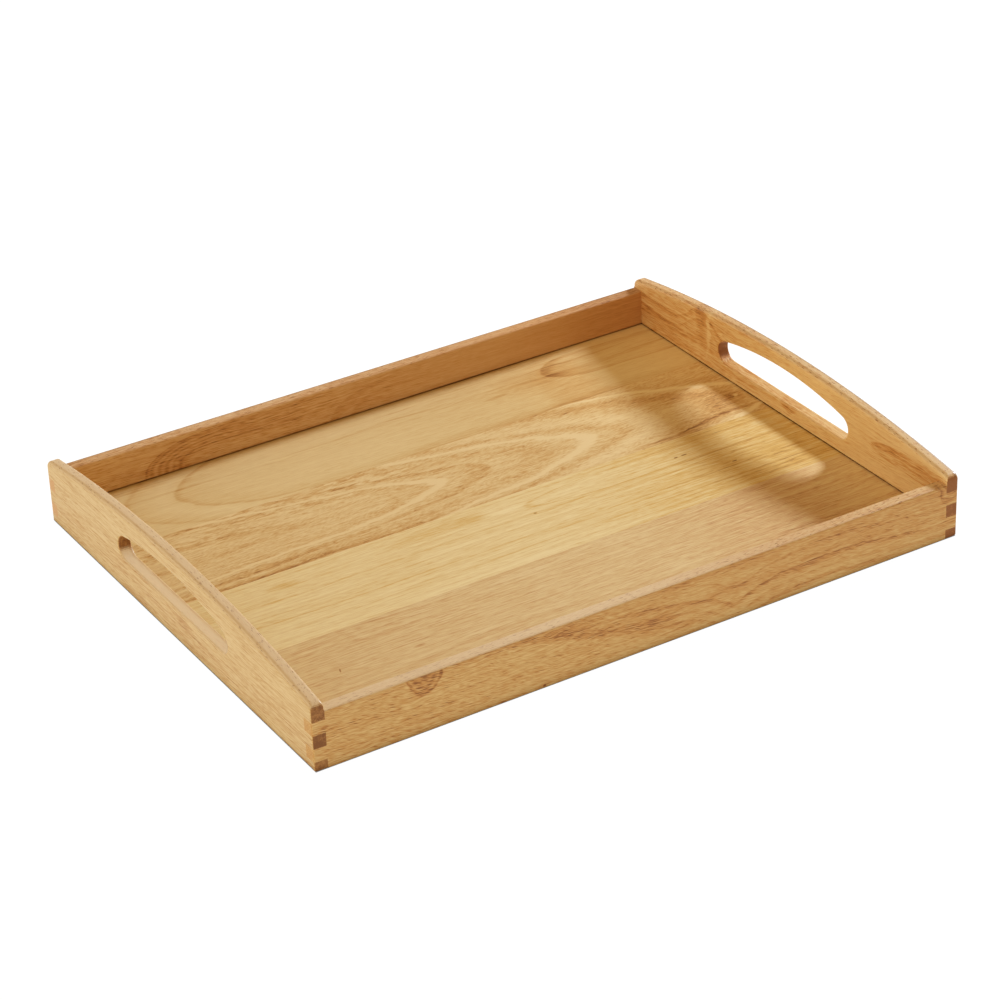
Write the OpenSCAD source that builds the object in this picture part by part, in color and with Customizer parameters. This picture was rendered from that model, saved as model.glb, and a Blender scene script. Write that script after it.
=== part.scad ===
// Wooden serving tray: two arched end boards with handle slots, two long rails,
// finger-jointed at the corners, round a floor glued up from four strips that
// sits in grooves. X runs along the rails, Y across the tray, Z up.
// The origin is at the middle of the underside.

/* [Tray] */
// Outside length, along the rails
tray_l = 500; // [450:5:550]
// Outside width, along the end boards
tray_w = 378; // [350:2:410]
// Thickness of the end boards and rails
board_t = 9.5; // [9:0.5:12]
// Rounding of the four upright outside corners
corner_r = 1.2; // [0.8:0.2:2]

/* [End boards] */
// Height at the middle of the arch
end_h = 63.4; // [60:0.2:75]
// How much lower the ends of the arch are than its middle
arch_rise = 15; // [10:0.5:18]
// Rounding of the two top edges
end_top_r = 3; // [2:0.5:4]
// Rounding of the outer bottom edge
end_bottom_r = 2.5; // [1:0.5:4]

/* [Handle slots] */
// Length of the slot, over its round ends
slot_l = 157; // [110:1:180]
// Height of the slot at the middle of its arch
slot_h = 25.8; // [24:0.1:30]
// Height of the slot's straight lower edge above the underside
slot_z = 25.7; // [22:0.1:28]
// Radius of the slot's round ends
slot_end_r = 9; // [7:0.5:11]

/* [Rails] */
// Height of the rails
rail_h = 42; // [40:0.5:46]
// Rounding of the rails' top edges and outer bottom edge
rail_edge_r = 1.5; // [1:0.25:2.5]

/* [Corner joints] */
// Height of the lowest finger, which is on the end board
first_finger_h = 7.1; // [6:0.1:8]
// Height of each finger above it
finger_h = 9.6; // [9:0.1:10]

/* [Floor] */
// Height of the floor's top face above the underside
floor_top = 14.2; // [13:0.2:16]
// Thickness of the floor
floor_t = 6; // [5:0.5:7]
// Open gap in the groove above the floor
floor_gap = 1; // [0.5:0.1:1.5]
// Depth of the grooves in the boards
groove_d = 4.5; // [3:0.5:5]
// Room left for the floor at the bottom of each groove
floor_room = 0.5; // [0.3:0.1:1]
// Distance from the rear outside face to the first seam in the floor
seam_1 = 86.7; // [70:0.1:100]
// Distance from the rear outside face to the second seam
seam_2 = 175.5; // [150:0.1:200]
// Distance from the rear outside face to the third seam
seam_3 = 261.6; // [240:0.1:280]

/* [Hidden] */

half_l = tray_l / 2;
half_w = tray_w / 2;
inner_l = tray_l - 2 * board_t;
inner_w = tray_w - 2 * board_t;
arch_r = (half_w * half_w + arch_rise * arch_rise) / (2 * arch_rise);
arch_cz = end_h - arch_r;

// The slot's arch touches both of its round ends.
slot_end_y = slot_l / 2 - slot_end_r;
slot_end_z = slot_z + slot_end_r;
slot_arch_r = (slot_end_y ^ 2 + (slot_h - slot_end_r) ^ 2 - slot_end_r ^ 2) / (2 * (slot_h - 2 * slot_end_r));
slot_arch_cz = slot_z + slot_h - slot_arch_r;

// Lower ends of the rail's two fingers, and the end board's sockets for them
finger_zs = [first_finger_h, first_finger_h + 2 * finger_h];

floor_z = floor_top - floor_t;
groove_h = floor_t + floor_gap;
floor_l = inner_l + 2 * (groove_d - floor_room);
floor_half_w = inner_w / 2 + groove_d - floor_room;

// Cutters run this far past the faces they cut, and this far past a rounded corner.
past = 5;
clear = 1;
socket_w = board_t + past;
// Facets of the small and the wide arcs
small_fn = 48;
wide_fn = 720;

end_wood = [0.83, 0.68, 0.46];
rail_wood = [0.78, 0.60, 0.36];
floor_woods = [[0.86, 0.72, 0.50], [0.80, 0.64, 0.42], [0.84, 0.70, 0.42], [0.78, 0.60, 0.40]];

// Rectangle from the origin to [w, h]; its four corners, counted anticlockwise
// from the origin, are rounded to the radii given.
module rounded_rect(w, h, radii) {
    corners = [[0, 0], [w, 0], [w, h], [0, h]];
    inward = [[1, 1], [-1, 1], [-1, -1], [1, -1]];
    difference() {
        square([w, h]);
        for (i = [0 : 3]) if (radii[i] > 0)
            translate(corners[i]) corner_waste(inward[i], radii[i]);
    }
}

// What rounding takes off a corner at the origin: a square less a quarter
// circle, on the side that the signs in side point to
module corner_waste(side, r) {
    difference() {
        translate([side[0] < 0 ? -r : -clear, side[1] < 0 ? -r : -clear]) square(r + clear);
        translate([side[0] * r, side[1] * r]) circle(r, $fn = small_fn);
    }
}

// Plan of the whole tray, for the upright corners
module footprint() {
    translate([-half_l, -half_w, -past]) linear_extrude(end_h + 2 * past)
        rounded_rect(tray_l, tray_w, [corner_r, corner_r, corner_r, corner_r]);
}

// Disc as thick as an end board, standing on edge under the arch of the left
// end board. Its rim is the arch, with both edges rounded over.
module arch_disc() {
    translate([-half_l, 0, arch_cz]) rotate([0, 90, 0]) rotate_extrude($fn = wide_fn)
        rounded_rect(arch_r, board_t, [0, end_top_r, end_top_r, 0]);
}

// Section of an end board, without its top: the outer bottom edge is rounded
module end_section() {
    translate([-half_l, half_w + past, 0]) rotate([90, 0, 0]) linear_extrude(tray_w + 2 * past)
        rounded_rect(board_t, end_h + past, [end_bottom_r, 0, 0, 0]);
}

// Outline of a handle slot: a straight lower edge, two round ends and an arch
module slot_outline() {
    reach = (slot_arch_r + past) / (slot_arch_r - slot_end_r);
    top_y = slot_end_y * reach;
    top_z = slot_arch_cz + (slot_end_z - slot_arch_cz) * reach;
    intersection() {
        translate([0, slot_arch_cz]) circle(slot_arch_r, $fn = wide_fn);
        polygon([[-slot_end_y, slot_z], [slot_end_y, slot_z], [slot_end_y, slot_end_z], [top_y, top_z],
                 [0, slot_z + slot_h + past], [-top_y, top_z], [-slot_end_y, slot_end_z]]);
    }
    for (side = [-1, 1]) translate([side * slot_end_y, slot_end_z]) circle(slot_end_r, $fn = small_fn);
}

// End board at the left: blank, less the slot, the sockets and the groove
module end_board() {
    difference() {
        intersection() {
            arch_disc();
            end_section();
            footprint();
        }
        translate([-half_l - past, 0, 0]) rotate([90, 0, 90]) linear_extrude(board_t + 2 * past)
            slot_outline();
        for (side = [-1, 1], z = finger_zs)
            translate([-half_l - past, side * (half_w + past - socket_w / 2) - socket_w / 2, z])
                cube([board_t + 2 * past, socket_w, finger_h]);
        translate([-half_l + board_t - groove_d, -inner_w / 2 - clear, floor_z])
            cube([groove_d + past, inner_w + 2 * clear, groove_h]);
    }
}

// Rail at the front: a full-length bar, cut back to its fingers at both ends,
// with a groove that stops inside the lower fingers
module rail() {
    difference() {
        intersection() {
            translate([-half_l, -half_w, 0]) rotate([90, 0, 90]) linear_extrude(tray_l)
                rounded_rect(board_t, rail_h, [rail_edge_r, 0, rail_edge_r, rail_edge_r]);
            footprint();
            union() {
                translate([-inner_l / 2, -half_w - past, -past])
                    cube([inner_l, board_t + 2 * past, rail_h + 2 * past]);
                for (z = finger_zs)
                    translate([-half_l - past, -half_w - past, z])
                        cube([tray_l + 2 * past, board_t + 2 * past, finger_h]);
            }
        }
        translate([-inner_l / 2 - groove_d, -half_w + board_t - groove_d, floor_z])
            cube([inner_l + 2 * groove_d, groove_d + past, groove_h]);
    }
}

// One strip of the floor, between two distances from the middle line
module floor_strip(y_front, y_rear) {
    translate([-floor_l / 2, y_front, floor_z]) cube([floor_l, y_rear - y_front, floor_t]);
}

module left_end_board() { color(end_wood) end_board(); }
module right_end_board() { color(end_wood) mirror([1, 0, 0]) end_board(); }
module front_rail() { color(rail_wood) rail(); }
module rear_rail() { color(rail_wood) mirror([0, 1, 0]) rail(); }
module floor_strip_rear() { color(floor_woods[0]) floor_strip(half_w - seam_1, floor_half_w); }
module floor_strip_mid_rear() { color(floor_woods[1]) floor_strip(half_w - seam_2, half_w - seam_1); }
module floor_strip_mid_front() { color(floor_woods[2]) floor_strip(half_w - seam_3, half_w - seam_2); }
module floor_strip_front() { color(floor_woods[3]) floor_strip(-floor_half_w, half_w - seam_3); }

left_end_board();
right_end_board();
front_rail();
rear_rail();
floor_strip_rear();
floor_strip_mid_rear();
floor_strip_mid_front();
floor_strip_front();
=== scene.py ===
"""Looks of the wooden serving tray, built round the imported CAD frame."""
import math

import bmesh
import bpy
from mathutils import Matrix, Vector
from mathutils.geometry import tessellate_polygon


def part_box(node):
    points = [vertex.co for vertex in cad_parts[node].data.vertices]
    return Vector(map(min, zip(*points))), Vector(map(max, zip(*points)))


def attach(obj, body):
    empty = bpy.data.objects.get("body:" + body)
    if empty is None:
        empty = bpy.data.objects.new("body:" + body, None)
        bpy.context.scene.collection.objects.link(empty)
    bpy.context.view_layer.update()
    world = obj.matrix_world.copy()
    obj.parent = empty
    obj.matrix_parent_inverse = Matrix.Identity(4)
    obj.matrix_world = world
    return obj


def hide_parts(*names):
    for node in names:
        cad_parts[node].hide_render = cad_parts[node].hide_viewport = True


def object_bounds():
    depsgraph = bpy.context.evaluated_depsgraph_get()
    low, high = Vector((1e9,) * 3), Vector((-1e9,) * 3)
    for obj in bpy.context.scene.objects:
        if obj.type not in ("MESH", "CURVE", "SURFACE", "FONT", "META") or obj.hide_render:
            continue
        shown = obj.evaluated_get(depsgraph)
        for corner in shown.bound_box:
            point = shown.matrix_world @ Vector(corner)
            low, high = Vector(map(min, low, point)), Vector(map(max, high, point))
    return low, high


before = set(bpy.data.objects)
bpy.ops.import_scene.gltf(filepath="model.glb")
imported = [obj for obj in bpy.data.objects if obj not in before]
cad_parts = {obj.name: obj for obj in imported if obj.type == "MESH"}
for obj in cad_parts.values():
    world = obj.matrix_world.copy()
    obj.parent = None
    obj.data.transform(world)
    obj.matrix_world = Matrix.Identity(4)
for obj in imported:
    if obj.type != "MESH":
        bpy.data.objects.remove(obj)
cad_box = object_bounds()

MM = 0.001

# Sizes that the frame gives
low, high = cad_box
HALF_L = high.x
HALF_W = high.y
END_H = high.z
rail_low, rail_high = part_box("front_rail")
RAIL_H = rail_high.z
BOARD_T = rail_high.y - rail_low.y

# Sizes of the boards' edges and joints
ARCH_RISE = 15 * MM
FIRST_FINGER = 7.1 * MM
FINGER = 9.6 * MM
SLOT_HALF = 78.5 * MM
SLOT_LOW = 25.7 * MM
SLOT_H = 25.8 * MM
SLOT_END_R = 9 * MM
GROOVE_LOW = 8.2 * MM
GROOVE_HIGH = 15.2 * MM
GROOVE_DEEP = 4.5 * MM
EDGE = {"arch": 3 * MM, "slot": 1.3 * MM, "corner": 1.2 * MM, "rail": 1.5 * MM,
        "rail_foot": 0.6 * MM, "end_foot": 2.5 * MM, "inner": 0.9 * MM, "foot_inner": 0.5 * MM}

# Material index that marks a board's two flat faces while its mesh is made
FLAT = 1


# ---------------------------------------------------------------- board meshes

def arc(centre, radius, start, stop, steps):
    """Points of an arc in the outline's plane, angles in degrees, both ends included."""
    points = []
    for i in range(steps + 1):
        a = math.radians(start + (stop - start) * i / steps)
        points.append((centre[0] + radius * math.cos(a), centre[1] + radius * math.sin(a)))
    return points


def edge_point(place, outer, inner, inset=None):
    """A point of an outline, with the rounding towards the board's outer and inner face.
    inset is the direction in which that rounding runs in, where it isn't square to the outline."""
    return {"place": Vector(place), "outer": outer, "inner": inner, "inset": inset and Vector(inset)}


def inward_normals(loop):
    """For each point of an anticlockwise outline, the step inwards that keeps its sides parallel."""
    steps = []
    count = len(loop)
    for i, point in enumerate(loop):
        if point["inset"]:
            steps.append(point["inset"])
            continue
        before = (point["place"] - loop[i - 1]["place"]).normalized()
        after = (loop[(i + 1) % count]["place"] - point["place"]).normalized()
        first, second = Vector((-before.y, before.x)), Vector((-after.y, after.x))
        steps.append((first + second) / (1 + first.dot(second)))
    return steps


def plate(name, outline, holes, thickness, place):
    """A board: an outline with holes, as thick as given, whose edges are rounded point by point.
    place turns (across, up, depth) into a point of the row frame."""
    mesh = bmesh.new()
    rings_of = []
    turns = 5
    for loop in [outline] + holes:
        steps = inward_normals(loop)
        rings = []
        for face in ("outer", "inner"):
            for k in range(turns + 1):
                phi = math.radians(90 * k / turns)
                ring = []
                for point, step in zip(loop, steps):
                    radius = point[face]
                    spot = point["place"] + step * radius * (1 - math.cos(phi))
                    depth = radius * (1 - math.sin(phi))
                    if face == "inner":
                        depth = thickness - depth
                    ring.append(mesh.verts.new(place(spot.x, spot.y, depth)))
                rings.append(ring)
        outer_rings, inner_rings = rings[:turns + 1], rings[turns + 1:]
        ordered = outer_rings[::-1] + inner_rings
        for a, b in zip(ordered, ordered[1:]):
            for i in range(len(loop)):
                j = (i + 1) % len(loop)
                mesh.faces.new((a[i], a[j], b[j], b[i]))
        rings_of.append((ordered[0], ordered[-1]))
    for which in (0, 1):
        loops = [pair[which] for pair in rings_of]
        flat = [v for ring in loops for v in ring]
        for tri in tessellate_polygon([[v.co for v in ring] for ring in loops]):
            mesh.faces.new([flat[i] for i in tri]).material_index = FLAT
    bmesh.ops.remove_doubles(mesh, verts=mesh.verts, dist=0.005 * MM)
    # Turn the triangles of the two flat faces, so that none is a mere line between points in a row
    flats = [face for face in mesh.faces if face.material_index == FLAT]
    seams = [edge for edge in mesh.edges
             if all(face.material_index == FLAT for face in edge.link_faces)]
    bmesh.ops.beautify_fill(mesh, faces=flats, edges=seams, method="AREA")
    for face in mesh.faces:
        face.material_index = 0
    bmesh.ops.recalc_face_normals(mesh, faces=mesh.faces)
    data = bpy.data.meshes.new(name)
    mesh.to_mesh(data)
    mesh.free()
    board = bpy.data.objects.new(name, data)
    bpy.context.scene.collection.objects.link(board)
    return board


def cut_groove(board, low_corner, high_corner):
    """Cuts a box-shaped groove into a board."""
    bm = bmesh.new()
    bmesh.ops.create_cube(bm, size=1)
    size = Vector(high_corner) - Vector(low_corner)
    middle = (Vector(high_corner) + Vector(low_corner)) / 2
    fit = Matrix.Translation(middle) @ Matrix.Diagonal((*size, 1))
    bmesh.ops.transform(bm, matrix=fit, verts=bm.verts)
    data = bpy.data.meshes.new("groove")
    bm.to_mesh(data)
    bm.free()
    cutter = bpy.data.objects.new("groove", data)
    bpy.context.scene.collection.objects.link(cutter)
    cut = board.modifiers.new("groove", "BOOLEAN")
    cut.operation = "DIFFERENCE"
    cut.solver = "EXACT"
    cut.object = cutter
    apply_modifiers(board)
    bpy.data.objects.remove(cutter)


def apply_modifiers(board):
    """Replaces a board's mesh with its mesh after all its modifiers."""
    depsgraph = bpy.context.evaluated_depsgraph_get()
    done = bpy.data.meshes.new_from_object(board.evaluated_get(depsgraph))
    old = board.data
    board.modifiers.clear()
    board.data = done
    bpy.data.meshes.remove(old)


def shade_edges(board):
    """Smooth roundings next to truly flat faces."""
    for face in board.data.polygons:
        face.use_smooth = True
    board.data.set_sharp_from_angle(angle=math.radians(40))
    weighted = board.modifiers.new("flat_faces", "WEIGHTED_NORMAL")
    weighted.mode = "FACE_AREA"
    weighted.weight = 100
    weighted.keep_sharp = True
    apply_modifiers(board)


def finger_levels():
    """Lower and upper end of the rail's two fingers."""
    lowest = FIRST_FINGER
    return [(lowest, lowest + FINGER), (lowest + 2 * FINGER, lowest + 3 * FINGER)]


def end_board_outline():
    """Outline of an end board in (across, up), anticlockwise from its lower left corner."""
    arch_r = (HALF_W ** 2 + ARCH_RISE ** 2) / (2 * ARCH_RISE)
    arch_z = END_H - arch_r
    top, corner, foot = EDGE["arch"], EDGE["corner"], EDGE["end_foot"]
    foot_round, top_round = 1.0 * MM, 4.5 * MM
    side = []
    # lower right corner
    for k, (y, z) in enumerate(arc((HALF_W - foot_round, foot_round), foot_round, -90, 0, 4)):
        share = k / 4
        side.append(edge_point((y, z), foot + (corner - foot) * share, EDGE["foot_inner"] * (1 - share)))
    # right end, with its sockets
    for lower, upper in finger_levels():
        for level in (lower, upper):
            rim = [edge_point((HALF_W, level), corner, 0, (-1, 0)),
                   edge_point((HALF_W - corner, level), 0, 0),
                   edge_point((HALF_W - BOARD_T, level), 0, 0)]
            side += rim if level == lower else rim[::-1]
    side.append(edge_point((HALF_W, RAIL_H), corner, 0))
    side.append(edge_point((HALF_W, RAIL_H + 1 * MM), corner, EDGE["inner"]))
    # upper right corner, round where the end meets the arch
    centre_y = HALF_W - top_round
    centre_z = arch_z + math.sqrt((arch_r - top_round) ** 2 - centre_y ** 2)
    lean = math.degrees(math.asin(centre_y / (arch_r - top_round)))
    for k, (y, z) in enumerate(arc((centre_y, centre_z), top_round, 0, 90 - lean, 6)):
        share = k / 6
        outer, inner = corner + (top - corner) * share, EDGE["inner"] + (top - EDGE["inner"]) * share
        side.append(edge_point((y, z), outer, inner))
    # half of the arch, up to its middle
    steps = 40
    for i in range(1, steps):
        a = math.radians(lean * (1 - i / steps))
        side.append(edge_point((arch_r * math.sin(a), arch_z + arch_r * math.cos(a)), top, top))
    middle = [edge_point((0, END_H), top, top)]
    other = []
    for point in reversed(side):
        inset = point["inset"] and (-point["inset"].x, point["inset"].y)
        place = (-point["place"].x, point["place"].y)
        other.append(edge_point(place, point["outer"], point["inner"], inset))
    return side + middle + other


def slot_outline():
    """Outline of a handle slot in (across, up), clockwise, as a hole is."""
    end_y, end_z = SLOT_HALF - SLOT_END_R, SLOT_LOW + SLOT_END_R
    rise = SLOT_H - SLOT_END_R
    arch_r = (end_y ** 2 + rise ** 2 - SLOT_END_R ** 2) / (2 * (SLOT_H - 2 * SLOT_END_R))
    arch_z = SLOT_LOW + SLOT_H - arch_r
    lean = math.degrees(math.asin(end_y / (arch_r - SLOT_END_R)))
    right = arc((end_y, end_z), SLOT_END_R, -90, 90 - lean, 22)
    arch = arc((0, arch_z), arch_r, 90 - lean, 90 + lean, 48)[1:-1]
    left = [(-y, z) for y, z in reversed(right)]
    lower = [(-end_y + 2 * end_y * i / 12, SLOT_LOW) for i in range(1, 12)]
    return [edge_point(p, EDGE["slot"], EDGE["slot"]) for p in reversed(right + arch + left + lower)]


def end_board(side):
    """End board on the side given: -1 is left, 1 is right."""
    name = "left_end" if side < 0 else "right_end"
    board = plate(name, end_board_outline(), [slot_outline()], BOARD_T,
                  lambda across, up, depth: (side * (HALF_L - depth), across, up))
    inner_w = HALF_W - BOARD_T
    x_in, x_deep = side * (HALF_L - BOARD_T - 2 * MM), side * (HALF_L - BOARD_T + GROOVE_DEEP)
    cut_groove(board, (min(x_in, x_deep), -inner_w - 1 * MM, GROOVE_LOW),
               (max(x_in, x_deep), inner_w + 1 * MM, GROOVE_HIGH))
    shade_edges(board)
    return board


def rail_outline():
    """Outline of a rail in (along, up), anticlockwise from its lower left corner."""
    body = HALF_L - BOARD_T
    edge, corner = EDGE["rail"], EDGE["corner"]
    foot = EDGE["rail_foot"]
    side = [edge_point((body, 0), foot, EDGE["foot_inner"], (0, 1)),
            edge_point((body, foot), 0, 0)]
    for lower, upper in finger_levels():
        side += [edge_point((body, lower), 0, 0),
                 edge_point((HALF_L - corner, lower), 0, 0),
                 edge_point((HALF_L, lower), corner, 0, (-1, 0)),
                 edge_point((HALF_L, upper), corner, 0, (-1, 0)),
                 edge_point((HALF_L - corner, upper), 0, 0),
                 edge_point((body, upper), 0, 0)]
    side += [edge_point((body, RAIL_H - edge), 0, 0), edge_point((body, RAIL_H), edge, edge, (0, -1))]
    other = []
    for point in reversed(side):
        inset = point["inset"] and (-point["inset"].x, point["inset"].y)
        place = (-point["place"].x, point["place"].y)
        other.append(edge_point(place, point["outer"], point["inner"], inset))
    return side + other


def rail(side):
    """Rail on the side given: -1 is front, 1 is rear."""
    name = "front_side" if side < 0 else "rear_side"
    board = plate(name, rail_outline(), [], BOARD_T,
                  lambda along, up, depth: (along, side * (HALF_W - depth), up))
    y_in, y_deep = side * (HALF_W - BOARD_T - 2 * MM), side * (HALF_W - BOARD_T + GROOVE_DEEP)
    reach = HALF_L - BOARD_T + GROOVE_DEEP
    cut_groove(board, (-reach, min(y_in, y_deep), GROOVE_LOW), (reach, max(y_in, y_deep), GROOVE_HIGH))
    shade_edges(board)
    return board


# ---------------------------------------------------------------- wood

class Field:
    """A number that varies over a surface: one output of a material's nodes, with arithmetic."""

    def __init__(self, tree, socket):
        self.tree = tree
        self.socket = socket

    def math(self, operation, *others):
        node = self.tree.nodes.new("ShaderNodeMath")
        node.operation = operation
        self.tree.links.new(self.socket, node.inputs[0])
        for slot, other in zip(node.inputs[1:], others):
            if isinstance(other, Field):
                self.tree.links.new(other.socket, slot)
            else:
                slot.default_value = other
        return Field(self.tree, node.outputs[0])

    def __add__(self, other):
        return self.math("ADD", other)

    def __sub__(self, other):
        return self.math("SUBTRACT", other)

    def __mul__(self, other):
        return self.math("MULTIPLY", other)

    def __truediv__(self, other):
        return self.math("DIVIDE", other)

    def size(self):
        return self.math("ABSOLUTE")

    def ramp(self, start, end, low=0.0, high=1.0):
        """Goes smoothly from low at start to high at end, and stays there outside them."""
        node = self.tree.nodes.new("ShaderNodeMapRange")
        node.interpolation_type = "SMOOTHSTEP"
        self.tree.links.new(self.socket, node.inputs["Value"])
        for slot, value in zip(("From Min", "From Max", "To Min", "To Max"), (start, end, low, high)):
            node.inputs[slot].default_value = value
        return Field(self.tree, node.outputs["Result"])

    def peak(self, level, below, above):
        """1 at a level, fading to 0 over the widths below and above it."""
        return self.ramp(level - below, level) * self.ramp(level + above, level)


class Wood:
    """A board's material. Figures are laid out in millimetres, along the grain and across it."""

    def __init__(self, name, grain, across, seed):
        self.material = bpy.data.materials.new(name)
        self.material.use_nodes = True
        self.tree = self.material.node_tree
        self.shader = self.tree.nodes["Principled BSDF"]
        self.seed = seed
        coordinates = self.tree.nodes.new("ShaderNodeTexCoord")
        place = self.split(coordinates.outputs["Object"])
        normal = self.split(self.tree.nodes.new("ShaderNodeNewGeometry").outputs["True Normal"])
        self.along = place[grain] * 1000
        self.up = place[across] * 1000
        self.deep = place[({"x", "y", "z"} - {grain, across}).pop()] * 1000
        self.end_grain = normal[grain].size().ramp(0.5, 0.92)
        self.facing_up = normal["z"].ramp(0.25, 0.75)
        self.facing_right = normal["x"].ramp(0.5, 0.9)

    def split(self, vector):
        node = self.tree.nodes.new("ShaderNodeSeparateXYZ")
        self.tree.links.new(vector, node.inputs[0])
        return {axis: Field(self.tree, node.outputs[i]) for i, axis in enumerate("xyz")}

    def stretched(self, long, wide, lean=0.0):
        """Coordinates in which something as long and wide as given is one unit each way."""
        self.seed += 1
        node = self.tree.nodes.new("ShaderNodeCombineXYZ")
        up = self.up + self.along * lean
        parts = (self.along / long + self.seed * 7.31, up / wide, self.deep / wide)
        for slot, part in zip(node.inputs, parts):
            self.tree.links.new(part.socket, slot)
        return node.outputs[0]

    def noise(self, long, wide, detail=1.0, lean=0.0):
        """Smooth noise about as long and wide as given, mostly between -0.5 and 0.5."""
        node = self.tree.nodes.new("ShaderNodeTexNoise")
        node.inputs["Scale"].default_value = 1
        node.inputs["Detail"].default_value = detail
        self.tree.links.new(self.stretched(long, wide, lean), node.inputs["Vector"])
        return (Field(self.tree, node.outputs["Fac"]) - 0.5) * 2

    def dashes(self, long, wide, share):
        """Short dashes along the grain, at most one to a cell of the size given, in a share of them."""
        node = self.tree.nodes.new("ShaderNodeTexVoronoi")
        node.inputs["Scale"].default_value = 1
        self.tree.links.new(self.stretched(long, wide), node.inputs["Vector"])
        spot = Field(self.tree, node.outputs["Distance"]).ramp(0.34, 0.12)
        return spot * self.split(node.outputs["Color"])["x"].ramp(share + 0.12, share - 0.12)

    def bend(self, long, wide, amount_along, amount_up):
        """Bends the figures laid out after this, in waves as long and wide as given."""
        self.along = self.along + self.noise(long, wide) * amount_along
        self.up = self.up + self.noise(long, wide) * amount_up

    def spot(self, along, up, long, wide):
        """1 in the middle of a soft oval spot, 0 outside it."""
        a, b = (self.along - along) / long, (self.up - up) / wide
        return (a * a + b * b).ramp(1, 0)

    def oval(self, centre, reach, top, bottom, opens=1):
        """1 on an oval's outline, more outside it. It stays open along the grain where opens is 1,
        against the grain where opens is -1, and it is closed where opens is 0."""
        ahead = self.along - centre[0]
        if opens:
            ahead = ahead.math("MINIMUM" if opens > 0 else "MAXIMUM", 0)
        ahead = ahead / reach
        over = self.up - centre[1]
        rise, drop = over.math("MAXIMUM", 0) / top, over.math("MINIMUM", 0) / bottom
        return (ahead * ahead + rise * rise + drop * drop).math("SQRT")

    def under_lips(self):
        """1 on the edges of a floor strip that lie in the boards' grooves, for painted shade there. For
        use before bend.
        """
        inner_l, inner_w = (HALF_L - BOARD_T) / MM, (HALF_W - BOARD_T) / MM
        ends = self.along.size().ramp(inner_l - 0.3, inner_l + 0.3)
        return ends + self.up.size().ramp(inner_w - 0.3, inner_w + 0.3)

    def mix(self, share, colour, other, blend="MIX"):
        """Mixes a plain colour into a colour socket, as far as share says."""
        node = self.tree.nodes.new("ShaderNodeMix")
        node.data_type = "RGBA"
        node.blend_type = blend
        self.tree.links.new(share.socket, node.inputs[0])
        self.tree.links.new(colour, node.inputs[6])
        node.inputs[7].default_value = (*other, 1)
        return node.outputs[2]

    def finish(self, tone, tint, end_tone=0.0, top_sheen=None, top_pores=0.0, coarse=1.0, lean=0.06,
               shade_right=False, dark=(1, 1, 1), rim=None):
        """Colours the board. tone runs from 0, pale, through 0.3, plain wood, to 1, dark brown;
        on faces that look up, top_sheen says how far a painted sheen pales them, rim how far a
        painted shade darkens them, and top_pores how much darker their pores are. shade_right
        paints shade on the faces towards the key light, and dark tints the tones beyond plain wood."""
        fine = self.noise(36, 0.8, 2) * 0.34 + self.noise(8, 0.6, 1, lean) * 0.40
        mottle = self.noise(45, 7, 1) * 0.10
        pores = self.dashes(7, 0.6, 0.5)
        side_grain = self.end_grain * -0.75 + 1
        pore_tone = self.facing_up * top_pores + 0.14
        tone = tone + (fine + mottle + pores * pore_tone) * side_grain * coarse
        tone = tone + self.end_grain * end_tone
        ramp = self.tree.nodes.new("ShaderNodeValToRGB")
        while len(ramp.color_ramp.elements) < len(SHADES):
            ramp.color_ramp.elements.new(0.5)
        for stop, (level, shade) in zip(ramp.color_ramp.elements, SHADES):
            hue = dark if level > 0.3 else (1, 1, 1)
            stop.position = level
            stop.color = (*[min(1.0, a * b * c) for a, b, c in zip(shade, tint, hue)], 1)
        self.tree.links.new(tone.socket, ramp.inputs[0])
        colour = ramp.outputs["Color"]
        # Painted sheen on faces that look up
        if top_sheen is not None:
            share = self.facing_up * ((pores * top_pores + fine * 0.6) * -1 + top_sheen)
            colour = self.mix(share, colour, TOP_SHEEN)
        # Painted shade on the rims of faces that look up
        if rim is not None:
            colour = self.mix(self.facing_up * rim, colour, RIM_SHADE, "MULTIPLY")
        # Painted shade on faces towards the key light
        if shade_right:
            colour = self.mix(self.facing_right, colour, RIGHT_SHADE, "MULTIPLY")
        self.tree.links.new(colour, self.shader.inputs["Base Color"])
        satin = (fine * 0.3 + pores * 0.12 + self.end_grain * 0.15) + 0.42
        self.tree.links.new(satin.socket, self.shader.inputs["Roughness"])
        bump = self.tree.nodes.new("ShaderNodeBump")
        bump.inputs["Distance"].default_value = 0.06 * MM
        bump.inputs["Strength"].default_value = 0.6
        height = fine - pores
        self.tree.links.new(height.socket, bump.inputs["Height"])
        self.tree.links.new(bump.outputs["Normal"], self.shader.inputs["Normal"])
        return self.material


# Colour of the painted sheen on the top edges, the shares of its colour that a rim and a right
# face under painted shade keep, and the wood's tones as shares of a board's own tint
TOP_SHEEN = (0.87, 0.745, 0.475)
RIM_SHADE = (0.40, 0.34, 0.30)
RIGHT_SHADE = (0.62, 0.54, 0.44)
SHADES = [(0.0, (1.10, 1.17, 1.32)), (0.3, (1.0, 1.0, 1.0)), (0.62, (0.85, 0.71, 0.55)),
          (0.82, (0.66, 0.47, 0.32)), (1.0, (0.40, 0.24, 0.13))]


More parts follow.
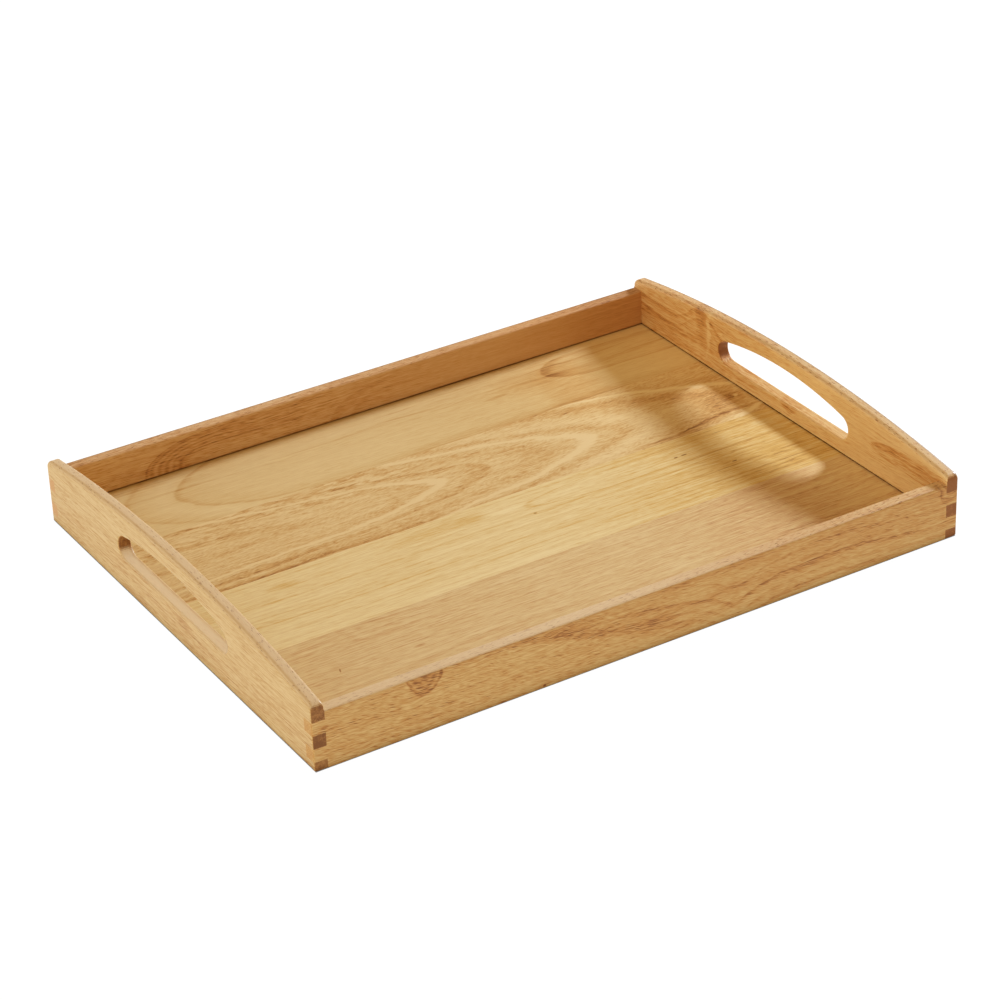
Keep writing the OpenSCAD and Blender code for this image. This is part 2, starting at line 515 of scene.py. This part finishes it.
def rear_strip_wood():
    """Pale board with one long oval, a closed knot-like oval at the right and faint streaks."""
    wood = Wood("floor_strip_rear_wood", "x", "y", 100)
    # Painted shade on the strip's edges under the grooves' lips
    groove_shade = wood.under_lips() * 0.5
    wood.bend(70, 25, 10, 4)
    wood.bend(18, 6, 2, 0.8)
    oval = wood.oval((-66, 140.8), 105, 52, 39.5)
    tone = oval.peak(1.0, 0.34, 0.03) * 0.12 + oval.peak(1.0, 0.06, 0.03) * 0.16
    tone = tone + oval.peak(1.38, 0.16, 0.06) * 0.14 + oval.peak(1.38, 0.04, 0.03) * 0.10
    tone = tone + oval.ramp(1.4, 1.6) * 0.08 - oval.peak(1.12, 0.1, 0.1) * 0.08
    low_edge = wood.up.ramp(112, 103) * wood.along.ramp(-60, 0)
    tone = tone + low_edge * 0.07
    knot = wood.oval((176, 152.5), 44, 19, 17, 0)
    tail = wood.oval((176, 151.5), 44, 19, 16, 1)
    mask = wood.along.ramp(172, 180)
    shape = knot * (mask * -1 + 1) + tail * mask
    tone = tone + shape.peak(0.98, 0.4, 0.06) * 0.16 + shape.ramp(1.03, 0.97) * 0.08
    tone = tone - shape.peak(1.14, 0.1, 0.1) * 0.04
    streaks = wood.noise(130, 3.2, 1).ramp(0.05, 0.6) * wood.up.ramp(135, 150)
    tone = tone + streaks * 0.22 + wood.noise(200, 6) * 0.07
    tone = tone + wood.spot(82, 141.8, 13, 1.6) * 0.22 + wood.spot(108, 149, 10, 1.2) * 0.14
    # Painted light eases the right board's shadow from 145 mm on, and painted shade darkens the patch
    # round (142, 132)
    tone = tone + wood.along.ramp(-70, 100) * 0.15 - wood.along.ramp(145, 185) * 0.12
    tone = tone + wood.spot(115, 148, 36, 22) * 0.12 + wood.spot(142, 132, 34, 46) * 0.16
    tone = tone - wood.along.ramp(-190, -235) * 0.07
    return wood.finish(tone + groove_shade + 0.17, (0.777, 0.615, 0.288), coarse=0.6)


def mid_rear_strip_wood():
    """Cathedral figure: nested tips that open to the left, with coarse grain."""
    wood = Wood("floor_strip_mid_rear_wood", "x", "y", 200)
    # Painted shade on the strip's edges under the grooves' lips
    groove_shade = wood.under_lips() * 0.5
    wood.bend(60, 20, 12, 4)
    wood.bend(14, 5, 4, 1.2)
    ahead = wood.along + 158
    over = wood.up - wood.along * -0.054 - 56.6
    tips = (ahead + (ahead * ahead + over * over * 77 + 200).math("SQRT")) * 0.5
    tone = tips.peak(34, 26, 14) * 0.18 - tips.peak(146, 12, 8) * 0.50 + tips.peak(136, 40, 6) * 0.12
    tone = tone + tips.peak(186, 26, 4) * 0.26 + tips.peak(228, 34, 30) * 0.16
    tone = tone - tips.peak(265, 12, 9) * 0.50 + tips.peak(292, 18, 14) * 0.22
    tone = tone - tips.peak(318, 14, 16) * 0.12 + tips.peak(378, 46, 26) * 0.30
    tone = tone - tips.peak(412, 9, 8) * 0.45 + tips.peak(425, 10, 30) * 0.12
    low_line = wood.up - wood.along.ramp(-40, 10) * 3 - wood.along.ramp(140, 230) * 9
    tone = tone + low_line.peak(15.2, 1.6, 4) * wood.along.ramp(30, -50) * 0.34
    tone = tone + low_line.peak(15.0, 3, 1.6) * wood.along.ramp(120, 150) * 0.30
    rough = wood.noise(12, 2.2, 2, 0.12) * wood.up.ramp(60, 84) * wood.along.ramp(20, -60)
    tone = tone + rough * 0.65 + wood.noise(9, 2.0, 1, 0.1) * 0.18
    tone = tone - wood.spot(232.7, 44, 3, 3) * 0.5 + wood.spot(232, 43, 9, 12) * 0.12
    # Painted shade: darker towards the right board
    tone = tone + wood.along.ramp(130, 235) * 0.14 + wood.noise(4.5, 1.4, 1, -0.3) * 0.30
    tone = tone + wood.spot(-150, 22, 90, 9) * 0.12
    return wood.finish(tone + groove_shade + 0.25, (0.787, 0.613, 0.288), coarse=0.95)


def mid_front_strip_wood():
    """Yellower board with straight lines and one narrow loop that opens to the right."""
    wood = Wood("floor_strip_mid_front_wood", "x", "y", 300)
    # Painted shade on the strip's edges under the grooves' lips
    groove_shade = wood.under_lips() * 0.5
    wood.bend(150, 30, 10, 2.4)
    wood.bend(30, 4, 2, 0.7)
    tone = wood.noise(240, 3.4, 1) * 0.16
    for level, depth in ((9, 0.10), (-10.2, 0.12), (-18.5, 0.16), (-27.5, -0.12), (-34.2, 0.08),
                         (-42.5, 0.22), (-46.5, 0.08), (-55.9, 0.14), (-59.9, 0.10), (-65.2, 0.10),
                         (-69, -0.12)):
        tone = tone + wood.up.peak(level, 0.8, 2.2) * depth
    loop = wood.oval((100, -6.3), 80, 10.8, 10.8)
    tone = tone + loop.peak(1, 0.10, 0.06) * 0.22 - loop.ramp(0.97, 0.6) * 0.08
    wedge = wood.along.ramp(-105, -40) * wood.along.ramp(-8, -20) * (wood.up - 0.5).size().ramp(10, 3)
    tone = tone + wedge * 0.24 - wood.spot(5, -4.5, 16, 3) * 0.22
    tone = tone + wood.spot(-169, -2.5, 16, 6) * 0.22
    specks = wood.spot(145, -9.3, 2.2, 0.7) + wood.spot(152.5, -9.4, 3.2, 0.7)
    specks = specks + wood.spot(174.3, -36.9, 2.6, 1) + wood.spot(17.7, -18.2, 1.6, 1.2) * 0.6
    tone = tone + specks
    # Painted shade: darker towards the right board, a little less right at its foot
    tone = tone + wood.along.ramp(0, 210) * 0.34 - wood.along.ramp(205, 235) * 0.06
    tone = tone - wood.up.ramp(-38, -60) * wood.along.ramp(80, -20) * 0.09
    return wood.finish(tone + groove_shade + 0.23, (0.841, 0.70, 0.346), coarse=0.9, dark=(1.04, 1.05, 0.87))


def front_strip_wood():
    """Pinkish board, nearly plain, with faint streaks and a small swirl."""
    wood = Wood("floor_strip_front_wood", "x", "y", 400)
    # Painted shade on the strip's edges under the grooves' lips
    groove_shade = wood.under_lips() * 0.5
    wood.bend(120, 30, 10, 4)
    wood.bend(20, 4, 2, 0.6)
    streaks = wood.noise(110, 1.4, 2) * wood.up.ramp(-122, -106, 0.4, 1)
    tone = streaks * 0.26 + wood.noise(180, 5) * 0.10
    swirl = wood.oval((-150, -82.5), 13, 7, 6, 0)
    rings = swirl.peak(0.9, 0.6, 0.4) + swirl.peak(1.8, 0.5, 0.3)
    tone = tone + rings * wood.along.ramp(-128, -146) * 0.13
    flow = wood.up + (wood.along + 80).size().ramp(0, 130, 0, 8)
    tone = tone - flow.peak(-127, 3, 2) * 0.10 + flow.peak(-131, 5, 2) * 0.08
    tone = tone + wood.spot(-133, -119.5, 6, 1.8) * 0.34 + wood.spot(-191, -116, 0.6, 2.6) * 0.6
    # Painted shade: darker towards the right board, less so close to it
    tone = tone + wood.along.ramp(40, 170) * 0.24 - wood.along.ramp(185, 225) * 0.16
    return wood.finish(tone + groove_shade + 0.28, (0.786, 0.626, 0.31), coarse=1.15, dark=(1.03, 1.03, 1.2))


def front_rail_wood():
    """Cut-through knot at the left, a notched wave at the right, ribbon dashes all over."""
    wood = Wood("front_rail_wood", "x", "z", 500)
    wood.bend(40, 14, 6, 2)
    wood.bend(10, 4, 1.6, 0.8)
    beside, below = ((wood.along + 171) / 15).size(), ((wood.up - 43) / 16).size()
    knot = (beside.math("POWER", 1.5) + below.math("POWER", 1.5)).math("POWER", 0.67)
    tone = knot.peak(1, 0.20, 0.08) * 0.16 + knot.peak(0.66, 0.14, 0.08) * 0.12
    tone = tone - knot.peak(0.82, 0.08, 0.08) * 0.12 + knot.ramp(0.36, 0.12) * 0.16
    tone = tone + knot.ramp(1.03, 0.97) * 0.27
    tone = tone + wood.spot(-242.5, 29.5, 3.2, 1.6) * 0.4
    slope = wood.up - wood.along.ramp(-122, 12, 38.6, 13.5)
    tone = tone + slope.peak(0, 0.7, 12) * wood.along.ramp(-163, -152) * wood.along.ramp(30, 5) * 0.20
    tone = tone + slope.ramp(0, 4) * wood.along.ramp(-158, -130) * 0.16
    tone = tone + wood.spot(-83, 3, 5, 4) * 0.12 + wood.spot(-83, 2.2, 1.4, 1.2) * 0.6
    notch = (wood.along - 66) / 20
    wave = wood.up + (notch * notch + 1).math("POWER", -1) * 13 - 24
    wave = wave + (wood.along - 66).math("MINIMUM", 0) * 0.09 + wood.along.ramp(140, 240, 0, 10)
    right = wood.along.ramp(-30, 5)
    tone = tone + wave.peak(0, 4.5, 0.8) * right * 0.28 + wave.peak(-8.5, 3, 0.8) * right * 0.16
    tone = tone + wave.peak(-15, 4, 0.8) * right * 0.22 + wave.peak(12, 3, 0.8) * right * 0.16
    rings = wood.oval((243, 41), 10, 10, 11, 0)
    tone = tone + (rings.peak(1, 0.3, 0.08) + rings.peak(0.6, 0.25, 0.08)) * 0.26
    tone = tone + wood.noise(6.5, 0.6, 1, 0.15) * wood.along.ramp(-120, 60, 0.60, 0.36)
    tone = tone + wood.noise(40, 7) * 0.16
    # Painted shade: a little darker towards the foot
    tone = tone + wood.up.ramp(14, 0) * 0.04 + wood.along.ramp(-120, -180) * 0.05
    tone = tone - wood.spot(45, 30, 60, 9) * 0.12
    return wood.finish(tone + 0.34, (0.713, 0.49, 0.186), end_tone=0.12,
                       top_sheen=wood.along.ramp(-60, 160, 0.9, 0.38), top_pores=0.5,
                       coarse=wood.along.ramp(-120, 60, 1.5, 1.05), lean=0.15, shade_right=True,
                       dark=(1.05, 1.0, 0.9))


def rear_rail_wood():
    """Redder board with nested ovals at the left and a second, fainter set further right."""
    wood = Wood("rear_rail_wood", "x", "z", 600)
    wood.bend(50, 14, 5, 2)
    wood.bend(12, 4, 1.2, 0.5)
    ovals = wood.oval((-132, 17), 48, 22, 25)
    rings = (ovals * 57).math("SINE") * 0.5 + 0.5
    tone = rings * ovals.ramp(1.03, 0.98) * ovals.ramp(0.3, 0.5) * 0.24
    tone = tone + ovals.peak(1, 0.12, 0.03) * 0.16 + ovals.peak(0.52, 0.3, 0.04) * 0.16
    tone = tone + ovals.ramp(1.03, 0.97) * 0.08 + ovals.peak(1.4, 0.25, 0.05) * 0.06
    tone = tone * wood.along.ramp(20, -100, 0.12, 1)
    second = wood.oval((30, 13), 62, 24, 24)
    arcs = second.peak(1, 0.25, 0.05) + second.peak(0.7, 0.2, 0.05)
    tone = tone + arcs * wood.along.ramp(60, 0) * 0.14
    tone = tone + wood.noise(90, 4, 1) * wood.along.ramp(-60, 60, 0.08, 0.02)
    tone = tone + wood.along.ramp(-100, 20) * 0.10 + wood.along.ramp(100, 235) * 0.24
    tone = tone + wood.along.ramp(-150, -230) * 0.08
    # Painted shade on the top face, more towards the right end
    tone = tone + wood.facing_up * wood.along.ramp(40, 200, 0.14, 0.22)
    # Painted shade on the outer rim of the top
    return wood.finish(tone + 0.30, (0.78, 0.54, 0.27), end_tone=0.12, top_sheen=0.2, top_pores=0.6,
                       coarse=wood.along.ramp(-90, 130, 1.5, 0.4), shade_right=True,
                       rim=wood.deep.ramp(186.4, 188) * 0.6)


def left_end_wood():
    """Palest board, with fine straight grain."""
    wood = Wood("left_end_board_wood", "y", "z", 700)
    wood.bend(90, 20, 8, 2)
    wood.bend(20, 4, 2, 0.5)
    tone = wood.noise(150, 2.6, 2) * 0.22 + wood.noise(60, 12) * 0.08
    line = wood.up + wood.along.ramp(150, 100, 0, -3)
    tone = tone + line.peak(34.4, 0.7, 0.9) * wood.along.ramp(90, 108) * wood.along.ramp(158, 145) * 0.34
    tone = tone + wood.spot(-14, 19, 18, 5) * 0.20 + wood.up.ramp(50, 4, -0.06, 0.10)
    tone = tone - wood.end_grain * wood.up.ramp(13, 6) * 0.22
    # Less painted sheen on the top's inner rim, so that it shows darker
    rim = wood.deep.ramp(-244, -241.5)
    return wood.finish(tone + 0.26, (0.703, 0.497, 0.202), end_tone=0.68,
                       top_sheen=wood.up.ramp(30, 45, 1.0, 0.85) - rim * 0.55,
                       top_pores=wood.up.ramp(30, 45, 0, 0.6), coarse=1.45)


def right_end_wood():
    """Darker board with a flame over its rear half, a band in front and a mark under the slot."""
    wood = Wood("right_end_board_wood", "y", "z", 800)
    wood.bend(50, 14, 5, 2)
    wood.bend(12, 4, 1.2, 0.6)
    flame = wood.up + (wood.along - 101).size().ramp(2, 34, 0, 16)
    behind = wood.along.ramp(60, 80)
    tone = flame.peak(57, 5, 1) * behind * 0.24 + flame.peak(49, 4, 1) * behind * 0.18
    tone = tone + wood.spot(101, 48, 9, 22) * 0.22 - wood.spot(91, 44, 3.4, 26) * 0.24
    fade = wood.along.ramp(-60, 90, -0.12, 0.13) - wood.along.ramp(-90, -150) * 0.08
    tone = tone + fade * (wood.end_grain * -1 + 1)
    tone = tone + wood.noise(80, 2.6, 2) * 0.26 + wood.up.peak(31, 6, 3) * wood.along.ramp(60, 90) * 0.16
    band = wood.oval((-150, 37.5), 46, 7.5, 7, -1)
    tone = tone + band.ramp(1.06, 0.94) * 0.36 + wood.noise(30, 2) * band.ramp(1.3, 0.9) * 0.3
    mark = (wood.along + 8).size() + wood.up.ramp(28, 16, 2, 16) - 16
    # The mark's tone, and painted shade on faces that look up
    tone = tone + mark.ramp(1, -3) * wood.up.ramp(27, 24) * 0.30 + wood.facing_up * 0.08
    # Painted shade on the tops' outer rim, and a little on all faces that look up
    return wood.finish(tone + 0.30, (0.867, 0.631, 0.28), end_tone=0.72,
                       top_sheen=wood.up.ramp(30, 45, 0, 0.4), top_pores=wood.up.ramp(30, 45, 0, 0.9),
                       coarse=1.25, shade_right=True, dark=(1.02, 0.96, 0.9),
                       rim=wood.deep.ramp(246.2, 248.4) * wood.up.ramp(30, 45, 0, 0.55) + 0.15)


# ---------------------------------------------------------------- stage, lights and camera

# How far the dark part of the floor reaches round the tray, and how far the white frame that
# covers it ends from the end boards and from the rails, whose feet are less round
SHADE_REACH = 6 * MM
FRAME_GAPS = (-0.7 * MM, 0.1 * MM)
# Light that the floor gives off far from the tray, and at the tray's foot
FLOOR_GLOW = 0.985
FOOT_GLOW = 0.2


def stage_piece(name, bm, base, glow):
    """A plain white piece of the stage, that reflects and gives off as much light as given."""
    data = bpy.data.meshes.new(name)
    bm.to_mesh(data)
    bm.free()
    piece = bpy.data.objects.new(name, data)
    bpy.context.scene.collection.objects.link(piece)
    paper = bpy.data.materials.new(name + "_paper")
    paper.use_nodes = True
    shader = paper.node_tree.nodes["Principled BSDF"]
    shader.inputs["Base Color"].default_value = (base, base, base, 1)
    shader.inputs["Roughness"].default_value = 0.9
    shader.inputs["Specular IOR Level"].default_value = 0.1
    shader.inputs["Emission Color"].default_value = (1, 1, 1, 1)
    shader.inputs["Emission Strength"].default_value = glow
    data.materials.append(paper)
    return piece


def out_of_the_light(piece):
    """Leaves a piece of the stage in sight, but it neither lights the tray nor shades it."""
    piece.visible_diffuse = False
    piece.visible_glossy = False
    piece.visible_transmission = False
    piece.visible_shadow = False


def make_stage():
    """White floor, lit through like a light table, and a round white wall behind it. Close to the
    tray the floor gives off little light, so that the tray's foot is dark as it is on a table; a
    white frame round the foot, out of the light, hides that but for a thin line of painted contact
    shadow."""
    bm = bmesh.new()
    bmesh.ops.create_grid(bm, x_segments=1, y_segments=1, size=6)
    floor = stage_piece("floor", bm, 0.08, FLOOR_GLOW)
    tree = floor.data.materials[0].node_tree
    coordinates = tree.nodes.new("ShaderNodeTexCoord")
    split = tree.nodes.new("ShaderNodeSeparateXYZ")
    tree.links.new(coordinates.outputs["Object"], split.inputs[0])
    beside = (Field(tree, split.outputs["X"]).size() - HALF_L).math("MAXIMUM", 0)
    before = (Field(tree, split.outputs["Y"]).size() - HALF_W).math("MAXIMUM", 0)
    away = (beside * beside + before * before).math("SQRT")
    glow = away.ramp(0, SHADE_REACH, FOOT_GLOW, FLOOR_GLOW)
    tree.links.new(glow.socket, tree.nodes["Principled BSDF"].inputs["Emission Strength"])

    bm = bmesh.new()
    rims = []
    for gap_x, gap_y in (FRAME_GAPS, (2 * SHADE_REACH, 2 * SHADE_REACH)):
        x, y = HALF_L + gap_x, HALF_W + gap_y
        corners = ((-x, -y), (x, -y), (x, y), (-x, y))
        rims.append([bm.verts.new((u, v, 0.05 * MM)) for u, v in corners])
    inside, outside = rims
    for i in range(4):
        k = (i + 1) % 4
        bm.faces.new((inside[i], outside[i], outside[k], inside[k]))
    out_of_the_light(stage_piece("floor_frame", bm, 0, 1))

    bm = bmesh.new()
    bmesh.ops.create_cone(bm, cap_ends=False, segments=96, radius1=5.5, radius2=5.5, depth=8)
    out_of_the_light(stage_piece("wall", bm, 0, 1))


def make_lights():
    """A key light from the right, in a room that is bright and white low down on the left, and dim
    and warm overhead and on the right. A weak lamp above softens the shadow in the rear right corner."""
    world = bpy.data.worlds.new("studio")
    bpy.context.scene.world = world
    world.use_nodes = True
    tree = world.node_tree
    background = tree.nodes["Background"]
    direction = tree.nodes.new("ShaderNodeTexCoord").outputs["Generated"]
    towards = tree.nodes.new("ShaderNodeVectorMath")
    towards.operation = "DOT_PRODUCT"
    tree.links.new(direction, towards.inputs[0])
    towards.inputs[1].default_value = (-0.78, 0.1, -0.5)
    share = Field(tree, towards.outputs["Value"]) * 0.5 + 0.5
    strength = share * 1.05 + 0.22
    tree.links.new(strength.socket, background.inputs["Strength"])
    colour = tree.nodes.new("ShaderNodeValToRGB")
    first, last = colour.color_ramp.elements
    first.position, first.color = 0.15, (1.0, 0.56, 0.18, 1)
    last.position, last.color = 0.95, (1, 1, 1, 1)
    tree.links.new(share.socket, colour.inputs[0])
    tree.links.new(colour.outputs["Color"], background.inputs["Color"])

    lamp = bpy.data.lights.new("key", "AREA")
    lamp.shape = "DISK"
    lamp.size = 0.44
    lamp.energy = 62
    lamp.color = (0.88, 1.06, 1.45)
    key = bpy.data.objects.new("key", lamp)
    place, aim = Vector((2.36, 0.436, 1.2)), Vector((0.1, 0, 0.02))
    key.location = place
    key.rotation_euler = (aim - place).to_track_quat("-Z", "Y").to_euler()
    bpy.context.scene.collection.objects.link(key)

    spot = bpy.data.lights.new("corner_fill", "SPOT")
    spot.energy = 5
    spot.color = (1.0, 0.78, 0.5)
    spot.spot_size = math.radians(11)
    spot.spot_blend = 1
    spot.shadow_soft_size = 0.05
    fill = bpy.data.objects.new("corner_fill", spot)
    fill.location = (0.19, 0.14, 1.2)
    bpy.context.scene.collection.objects.link(fill)


def make_camera():
    """Camera above the front left corner, about two metres from the tray."""
    camera = bpy.data.cameras.new("camera")
    camera.lens = 116.19
    camera.sensor_width = 36
    camera.shift_x = -0.0009
    camera.shift_y = 0.0002
    camera.clip_end = 20
    obj = bpy.data.objects.new("camera", camera)
    place, aim = Vector((-0.9841, -1.6607, 1.1189)), Vector((0.0038, 0.0019, 0.02))
    roll = Matrix.Rotation(math.radians(-2.3), 4, "Z")
    turn = (aim - place).to_track_quat("-Z", "Y").to_matrix().to_4x4()
    obj.matrix_world = Matrix.Translation(place) @ turn @ roll
    bpy.context.scene.collection.objects.link(obj)
    bpy.context.scene.camera = obj


# ---------------------------------------------------------------- the scene

# Plain sRGB, with a gamma that darkens the middle tones a little
bpy.context.scene.view_settings.view_transform = "Standard"
bpy.context.scene.view_settings.gamma = 0.85
make_camera()
make_lights()
make_stage()

boards = {"left_end_board": end_board(-1), "right_end_board": end_board(1),
          "front_rail": rail(-1), "rear_rail": rail(1)}
for node, board in boards.items():
    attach(board, "root")
    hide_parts(node)

woods = {"left_end_board": left_end_wood(), "right_end_board": right_end_wood(),
         "front_rail": front_rail_wood(), "rear_rail": rear_rail_wood(),
         "floor_strip_rear": rear_strip_wood(), "floor_strip_mid_rear": mid_rear_strip_wood(),
         "floor_strip_mid_front": mid_front_strip_wood(), "floor_strip_front": front_strip_wood()}
for node, wood in woods.items():
    if node in boards:
        boards[node].data.materials.clear()
        boards[node].data.materials.append(wood)
    else:
        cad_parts[node].material_slots[0].material = wood
